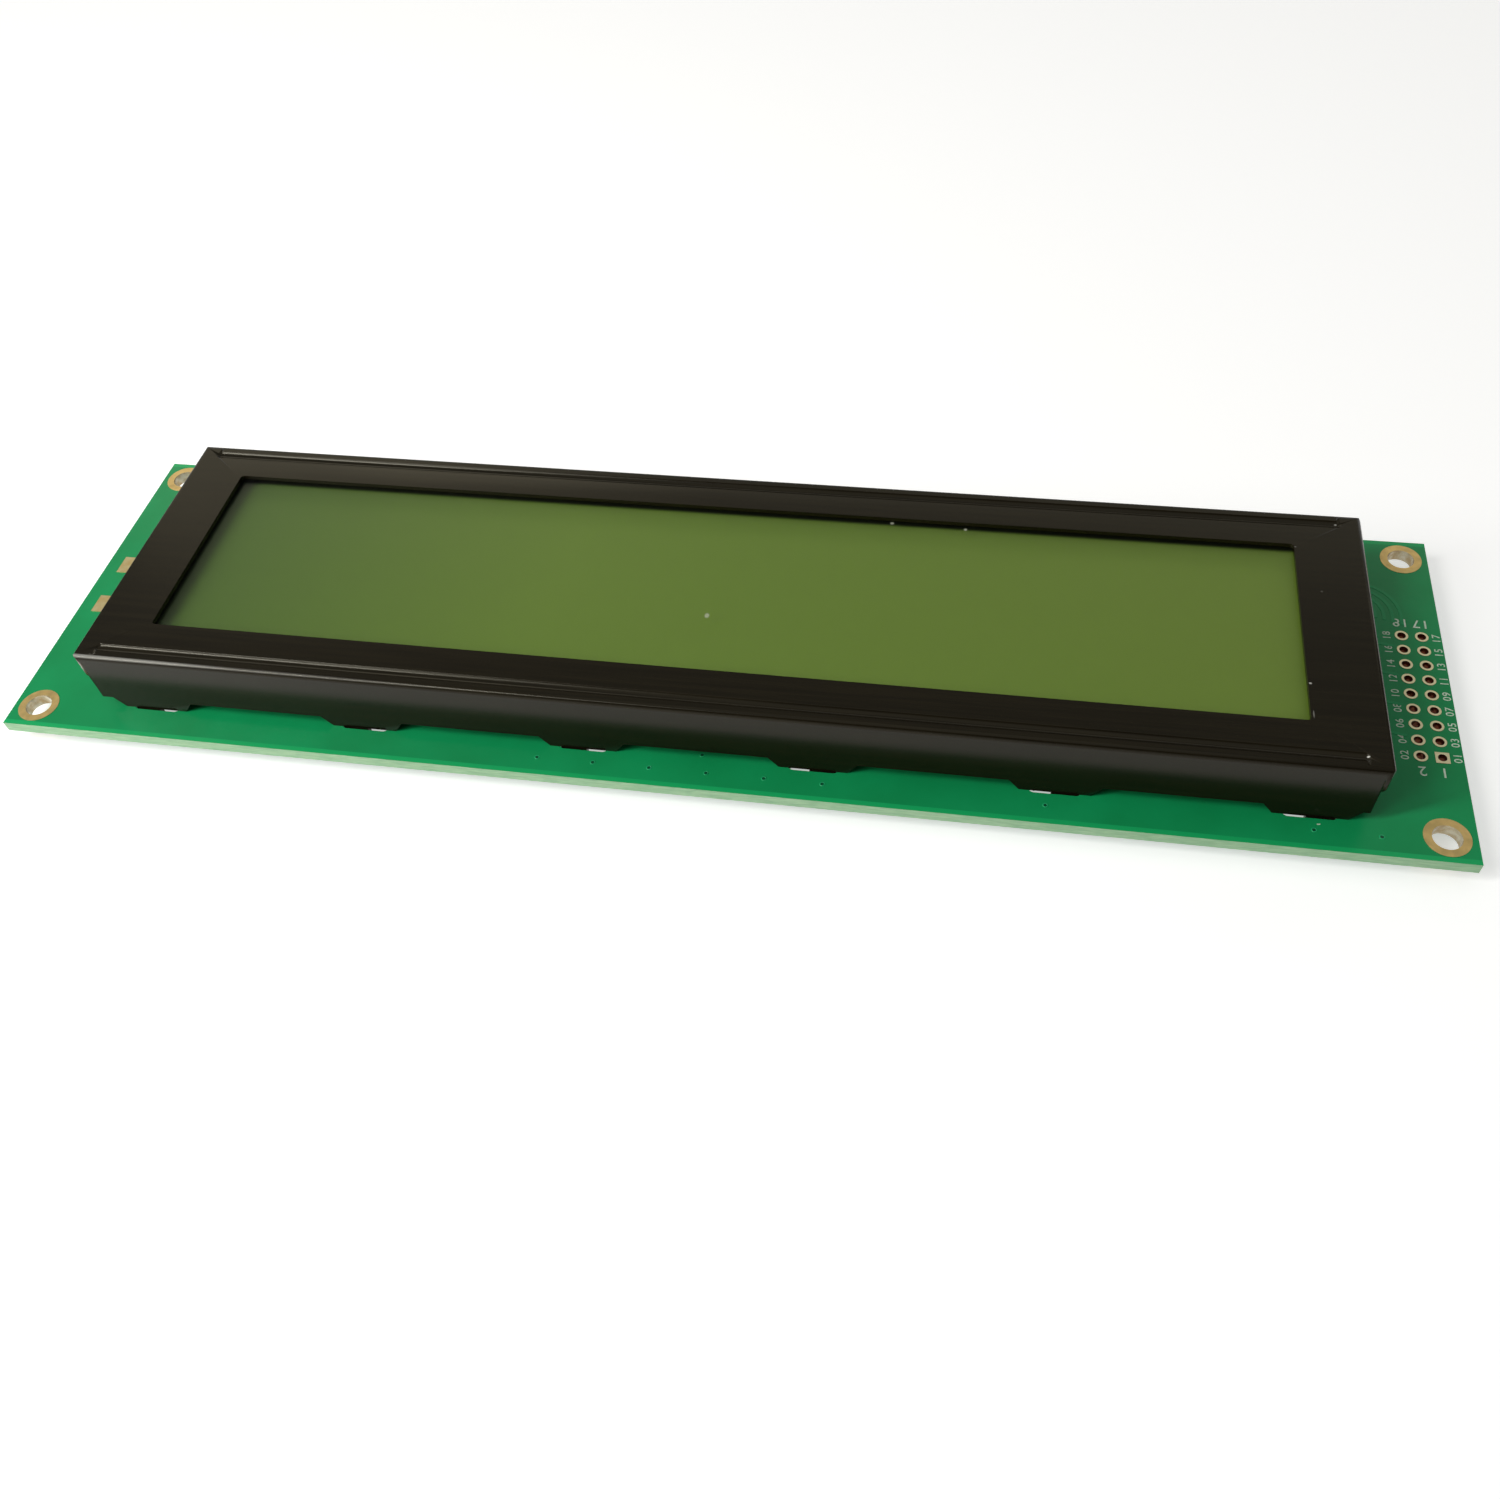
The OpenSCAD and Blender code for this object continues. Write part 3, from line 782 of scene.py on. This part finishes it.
silicon_grey = (0.10, 0.10, 0.12, 1)
silicon_blue = (0.06, 0.07, 0.12, 1)
epoxy_black = (0.010, 0.010, 0.011, 1)
epoxy_grey = (0.022, 0.021, 0.021, 1)
epoxy_ripple = (0.06 * MM, 450)
joining_distance = 0.0002 * MM


def plain_finish(name, first, second, grain, roughness, metallic=0.0, ripple=None):
    """A finish of two drifting tones, with a ripple if its depth in metres and its grain are given."""
    material, mat_nodes, mat_links, output = new_material(name)
    shader = mottled(mat_nodes, mat_links, first, second, grain, roughness, metallic)
    if ripple:
        depth, ripple_grain = ripple
        waves = noise(mat_nodes, mat_links, (ripple_grain, ripple_grain, ripple_grain), 2)
        mat_links.new(bump(mat_nodes, mat_links, waves, depth), shader.inputs["Normal"])
    mat_links.new(shader.outputs[0], output.inputs["Surface"])
    return material


def smooth_copy(node_name, material, sharp_angle=40):
    """A joined copy of a CAD node whose rounded faces are shaded smooth up to that angle."""
    mesh = nodes[node_name].data.copy()
    mesh.name = node_name + "_finished"
    joined = bmesh.new()
    joined.from_mesh(mesh)
    bmesh.ops.remove_doubles(joined, verts=joined.verts, dist=joining_distance)
    joined.to_mesh(mesh)
    joined.free()
    mesh.materials.clear()
    mesh.materials.append(material)
    for face in mesh.polygons:
        face.use_smooth = True
    mesh.set_sharp_from_angle(angle=math.radians(sharp_angle))
    piece = bpy.data.objects.new(mesh.name, mesh)
    bpy.context.scene.collection.objects.link(piece)
    even_shading = piece.modifiers.new("even_shading", "WEIGHTED_NORMAL")
    even_shading.mode = "FACE_AREA"
    even_shading.weight = 100
    even_shading.keep_sharp = True
    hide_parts(node_name)
    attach(piece, "root")


silicon = plain_finish("silicon", silicon_grey, silicon_blue, 4000, 0.25, 0.6)
finish_node("controller_dies", silicon)
finish_node("driver_dies", silicon)
black_epoxy = plain_finish("black_epoxy", epoxy_black, epoxy_grey, 900, 0.22, ripple=epoxy_ripple)
smooth_copy("controller_blobs", black_epoxy)
smooth_copy("driver_blobs", black_epoxy)


# --- Chip resistors and capacitors --------------------------------------------
# Small ceramic parts soldered to the back: resistors have a black glaze over white
# ceramic, capacitors are plain tan blocks, and both end in tinned metal caps.

resistor_glaze = (0.015, 0.015, 0.017, 1)
resistor_glaze_grey = (0.035, 0.034, 0.033, 1)
ceramic_white = (0.66, 0.65, 0.60, 1)
ceramic_tan = (0.42, 0.27, 0.15, 1)
ceramic_brown = (0.33, 0.20, 0.11, 1)
tin_bright = (0.66, 0.66, 0.66, 1)
tin_dull = (0.46, 0.46, 0.45, 1)
solder_ripple = (0.02 * MM, 1500)


def glazed_ceramic():
    """Black glaze on top, over a body of white ceramic."""
    material, mat_nodes, mat_links, output = new_material("glazed_ceramic")
    glaze = mottled(mat_nodes, mat_links, resistor_glaze, resistor_glaze_grey, 3000, 0.25)
    ceramic = mottled(mat_nodes, mat_links, ceramic_white, ceramic_white, 3000, 0.6)
    faces_and_walls(mat_nodes, mat_links, glaze, ceramic, output)
    return material


resistor_finish = glazed_ceramic()
finish_node("chip_resistors", resistor_finish)
finish_node("backlight_resistors", resistor_finish)
finish_node("chip_capacitors", plain_finish("tan_ceramic", ceramic_tan, ceramic_brown, 2500, 0.5))
solder_finish = plain_finish("solder", tin_dull, tin_bright, 2500, 0.30, 0.85, solder_ripple)
finish_node("chip_solder", solder_finish)


# --- Backlight -----------------------------------------------------------------
# A small board of light-emitting diodes in a white frame under a milky diffuser. Its
# two wire pins come through the main board and are soldered on the back.

led_board_white = (0.70, 0.70, 0.66, 1)
led_board_cream = (0.62, 0.61, 0.55, 1)
plastic_white = (0.78, 0.78, 0.74, 1)
plastic_cream = (0.72, 0.71, 0.65, 1)
led_yellow = (0.55, 0.60, 0.12, 1)
led_clear = (0.62, 0.64, 0.30, 1)
plastic_ripple = (0.01 * MM, 3000)

finish_node("backlight_board", plain_finish("led_board", led_board_white, led_board_cream, 500, 0.5))
finish_node(
    "backlight_frame",
    plain_finish("white_plastic", plastic_white, plastic_cream, 300, 0.45, ripple=plastic_ripple),
)
finish_node("backlight_diffuser", plain_finish("milky_acrylic", plastic_white, plastic_cream, 150, 0.35))
finish_node("backlight_leds", plain_finish("led_resin", led_yellow, led_clear, 2000, 0.2))
wire_finish = plain_finish("tinned_wire", tin_dull, tin_bright, 3000, 0.3, metallic=0.9)
smooth_copy("backlight_pins", wire_finish)
smooth_copy("backlight_pin_solder", solder_finish)


# --- Display cell ------------------------------------------------------------
# Two sheets of clear glass with a matt polarizing film in front, on which three specks
# of dust lie. Behind them the rear film has a yellow-green reflector, which gives the
# display its colour.

# Painted shade: the reflector is drawn darker towards the left and lightens through the middle to the
# right.
reflector_left_painted_shade = (0.080, 0.150, 0.030, 1)
reflector_middle = (0.172, 0.265, 0.042, 1)
reflector_right = (0.202, 0.292, 0.046, 1)
# Painted shade: past the window's edge the foil is drawn near black, where the bezel shades it.
shade_under_bezel = (0.012, 0.016, 0.006, 1)
film_tint = (0.84, 0.88, 0.70, 1)
glass_tint = (0.965, 0.985, 0.975, 1)
seal_tone = (0.30, 0.28, 0.20, 1)
rubber_grey = (0.050, 0.050, 0.052, 1)
rubber_pink = (0.30, 0.17, 0.15, 1)
window_low = Vector((-74.05, -15.45, 0)) * MM
window_high = Vector((74.45, 14.55, 0)) * MM
shade_reach = 0.5 * MM
shade_fade = 0.5 * MM
middle_at = 0.35
foil_roughness = 0.55
film_roughness = 0.32
glass_roughness = 0.05
clear_refraction = 1.45
rubber_roughness = 0.8
rubber_layers = 1500
dust_pale = (0.52, 0.54, 0.42, 1)
# Each soft mark has a centre and a reach in millimetres, and a share from 0 to 1
dust_specks = (
    ((-0.22, -5.51, 10.55), (0.42, 0.55, 0.6), 0.55),
    ((21.8, 14.28, 10.55), (0.34, 0.30, 0.6), 0.6),
    ((31.8, 13.98, 10.55), (0.30, 0.30, 0.6), 0.6),
)


def spots(mat_nodes, mat_links, places):
    """How strong the strongest of these soft marks is at each point."""
    coordinates = mat_nodes.new("ShaderNodeTexCoord")
    strongest = None
    for centre, reach, share in places:
        offset = mat_nodes.new("ShaderNodeVectorMath")
        offset.operation = "SUBTRACT"
        offset.inputs[1].default_value = Vector(centre) * MM
        mat_links.new(coordinates.outputs["Object"], offset.inputs[0])
        reaches = mat_nodes.new("ShaderNodeVectorMath")
        reaches.operation = "DIVIDE"
        reaches.inputs[1].default_value = Vector(reach) * MM
        mat_links.new(offset.outputs[0], reaches.inputs[0])
        distance = mat_nodes.new("ShaderNodeVectorMath")
        distance.operation = "LENGTH"
        mat_links.new(reaches.outputs[0], distance.inputs[0])
        mark = mat_nodes.new("ShaderNodeMapRange")
        mark.inputs["From Min"].default_value = 1.0
        mark.inputs["From Max"].default_value = 0.5
        mark.inputs["To Max"].default_value = share
        mat_links.new(distance.outputs["Value"], mark.inputs["Value"])
        if strongest is None:
            strongest = mark.outputs[0]
        else:
            strongest = calculated(mat_nodes, mat_links, "MAXIMUM", strongest, mark.outputs[0])
    return strongest


def clear_layer(name, tint, roughness, specks=None):
    """A clear sheet: tinted to look through, with gloss on the side that faces out."""
    material, mat_nodes, mat_links, output = new_material(name)
    clear = mat_nodes.new("ShaderNodeBsdfTransparent")
    clear.inputs["Color"].default_value = tint
    gloss = mat_nodes.new("ShaderNodeBsdfGlossy")
    gloss.inputs["Roughness"].default_value = roughness
    haze = noise(mat_nodes, mat_links, (9000, 9000, 9000), 1)
    mat_links.new(bump(mat_nodes, mat_links, haze, 0.004 * MM, 0.4), gloss.inputs["Normal"])
    share = mat_nodes.new("ShaderNodeFresnel")
    share.inputs["IOR"].default_value = clear_refraction
    geometry = mat_nodes.new("ShaderNodeNewGeometry")
    outside = calculated(mat_nodes, mat_links, "SUBTRACT", 1.0, geometry.outputs["Backfacing"])
    factor = calculated(mat_nodes, mat_links, "MULTIPLY", share.outputs[0], outside)
    surface = mat_nodes.new("ShaderNodeMixShader")
    mat_links.new(factor, surface.inputs[0])
    mat_links.new(clear.outputs[0], surface.inputs[1])
    mat_links.new(gloss.outputs[0], surface.inputs[2])
    if specks:
        dust = mat_nodes.new("ShaderNodeBsdfDiffuse")
        dust.inputs["Color"].default_value = dust_pale
        clean = surface
        surface = mat_nodes.new("ShaderNodeMixShader")
        mat_links.new(spots(mat_nodes, mat_links, specks), surface.inputs[0])
        mat_links.new(clean.outputs[0], surface.inputs[1])
        mat_links.new(dust.outputs[0], surface.inputs[2])
    mat_links.new(surface.outputs[0], output.inputs["Surface"])
    return material


def rubber_stripes():
    """Thin conducting layers between insulating ones, which stand across the length."""
    material, mat_nodes, mat_links, output = new_material("layered_rubber")
    shader = mat_nodes.new("ShaderNodeBsdfPrincipled")
    stripes = mat_nodes.new("ShaderNodeTexWave")
    stripes.inputs["Scale"].default_value = 1.0
    length = object_coordinates(mat_nodes, mat_links, (rubber_layers, 0, 0))
    mat_links.new(length, stripes.inputs["Vector"])
    mat_links.new(
        colour_between(mat_nodes, mat_links, stripes.outputs["Fac"], rubber_grey, rubber_pink),
        shader.inputs["Base Color"],
    )
    shader.inputs["Roughness"].default_value = rubber_roughness
    mat_links.new(shader.outputs[0], output.inputs["Surface"])
    return material


def reflector_sheet():
    """Matt yellow-green foil with painted shade: darker towards the left, and near black under the bezel
    past the window.
    """
    material, mat_nodes, mat_links, output = new_material("reflector_foil")
    coordinates = mat_nodes.new("ShaderNodeTexCoord")
    place = {axis: along_axis(mat_nodes, mat_links, coordinates.outputs["Object"], axis) for axis in "XY"}
    along = mat_nodes.new("ShaderNodeMapRange")
    along.inputs["From Min"].default_value = window_low.x
    along.inputs["From Max"].default_value = window_high.x
    mat_links.new(place["X"], along.inputs["Value"])
    drift = mat_nodes.new("ShaderNodeValToRGB")
    drift.color_ramp.elements[0].color = reflector_left_painted_shade
    drift.color_ramp.elements[1].color = reflector_right
    drift.color_ramp.elements.new(middle_at).color = reflector_middle
    mat_links.new(along.outputs["Result"], drift.inputs["Fac"])
    nearest = None
    for axis, low, high in (("X", window_low.x, window_high.x), ("Y", window_low.y, window_high.y)):
        offset = calculated(mat_nodes, mat_links, "SUBTRACT", place[axis], (low + high) / 2)
        distance = calculated(mat_nodes, mat_links, "ABSOLUTE", offset)
        inside = calculated(mat_nodes, mat_links, "SUBTRACT", (high - low) / 2, distance)
        if nearest is None:
            nearest = inside
        else:
            nearest = calculated(mat_nodes, mat_links, "MINIMUM", nearest, inside)
    # Painted shade under the bezel, which fades in a little past the window's edge.
    fade = mat_nodes.new("ShaderNodeMapRange")
    fade.inputs["From Min"].default_value = -shade_reach - shade_fade
    fade.inputs["From Max"].default_value = -shade_reach
    mat_links.new(nearest, fade.inputs["Value"])
    foil = mat_nodes.new("ShaderNodeBsdfPrincipled")
    foil.inputs["Roughness"].default_value = foil_roughness
    mat_links.new(
        blended(mat_nodes, mat_links, fade.outputs["Result"], shade_under_bezel, drift.outputs["Color"]),
        foil.inputs["Base Color"],
    )
    mat_links.new(foil.outputs[0], output.inputs["Surface"])
    return material


def box_rim(low, high, z):
    """Four corners of a level rectangle, counter-clockwise from above."""
    return [(low.x, low.y, z), (high.x, low.y, z), (high.x, high.y, z), (low.x, high.y, z)]


def bonded_front():
    """The front glass with its film bonded on: one closed form, so that no air lies between."""
    film_low, film_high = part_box("front_polarizer")
    glass_low, glass_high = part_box("front_glass")
    vertices = box_rim(glass_low, glass_high, glass_low.z) + box_rim(glass_low, glass_high, glass_high.z)
    vertices += box_rim(film_low, film_high, glass_high.z) + box_rim(film_low, film_high, film_high.z)
    back_face, film_face = (3, 2, 1, 0), (12, 13, 14, 15)
    faces = [back_face, film_face]
    for ring in (0, 4, 8):
        for side in range(4):
            after = (side + 1) % 4
            faces.append((ring + side, ring + after, ring + 4 + after, ring + 4 + side))
    piece = mesh_piece("front_glass_and_film", vertices, faces, cell_glass)
    piece.data.materials.append(film)
    first_film_side = len(faces) - 4
    for face in piece.data.polygons:
        if face.index == faces.index(film_face) or face.index >= first_film_side:
            face.material_index = 1
    return piece


film = clear_layer("polarizer_film", film_tint, film_roughness, dust_specks)
cell_glass = clear_layer("cell_glass", glass_tint, glass_roughness)
front_sheet = bonded_front()
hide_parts("front_polarizer", "front_glass")
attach(front_sheet, "root")
reflector = reflector_sheet()
finish_node("rear_glass", reflector)
finish_node("rear_polarizer", reflector)
finish_node("cell_end_seal", plain_finish("seal_resin", seal_tone, seal_tone, 800, 0.3))
rubber = rubber_stripes()
finish_node("front_rubber_connector", rubber)
finish_node("rear_rubber_connector", rubber)


# --- Bezel -------------------------------------------------------------------
# One pressing of sheet steel in satin black enamel, with folded skirts and feet. Its
# tongues are twisted behind the board. A painted highlight runs along the left of the front
# fold and down the front-left corner, painted glints lie at the beads' ends and beside the
# window, and one small speck on the top is worn through.

enamel_black = (0.0078, 0.0058, 0.0026, 1)
enamel_faded = (0.0116, 0.0088, 0.0040, 1)
enamel_sheen = (1.0, 0.96, 0.80, 1)
enamel_roughness = 0.20
enamel_refraction = 1.31
glint_and_bare_steel = (0.78, 0.77, 0.72, 1)
# The first spot is a worn speck; the rest are painted highlights and glints: at the window's edge and
# corner, at the beads' ends, down the front-left corner and along the front fold.
painted_glints_and_worn_specks = (
    ((77.3, 6.1, 11.3), (0.20, 0.16, 0.4), 0.08),
    ((74.75, -9.66, 11.3), (0.22, 0.17, 0.5), 0.6),
    ((74.78, -14.5, 11.3), (0.11, 0.70, 0.5), 0.2),
    ((80.43, -20.08, 11.1), (0.20, 0.15, 0.5), 0.9),
    ((80.09, 19.07, 11.2), (0.24, 0.15, 0.5), 0.45),
    ((74.6, 14.05, 11.2), (0.18, 0.16, 0.5), 0.12),
    ((-82.2, -22.0, 9.4), (0.8, 0.5, 1.6), 0.45),
    ((-84.0, -21.95, 11.18), (32.0, 0.32, 0.32), 0.30),
    ((-84.0, -21.95, 11.18), (60.0, 0.30, 0.30), 0.11),
)


def black_enamel():
    """Satin enamel, streaked along the length by the rolled sheet, with painted highlights and glints and
    one worn speck.
    """
    material, mat_nodes, mat_links, output = new_material("black_enamel")
    enamel = mat_nodes.new("ShaderNodeBsdfPrincipled")
    streaks = noise(mat_nodes, mat_links, (60, 1800, 1800), 3)
    paint = colour_between(mat_nodes, mat_links, streaks, enamel_black, enamel_faded)
    # Painted highlights and glints, with one worn speck, mixed in as bare steel.
    glints_and_specks = spots(mat_nodes, mat_links, painted_glints_and_worn_specks)
    mat_links.new(blended(mat_nodes, mat_links, glints_and_specks, paint, glint_and_bare_steel), enamel.inputs["Base Color"])
    enamel.inputs["Roughness"].default_value = enamel_roughness
    enamel.inputs["IOR"].default_value = enamel_refraction
    enamel.inputs["Specular Tint"].default_value = enamel_sheen
    peel = noise(mat_nodes, mat_links, (1500, 1500, 1500), 2)
    mat_links.new(bump(mat_nodes, mat_links, peel, 0.01 * MM, 0.3), enamel.inputs["Normal"])
    mat_links.new(enamel.outputs[0], output.inputs["Surface"])
    return material


smooth_copy("bezel", black_enamel(), 30)
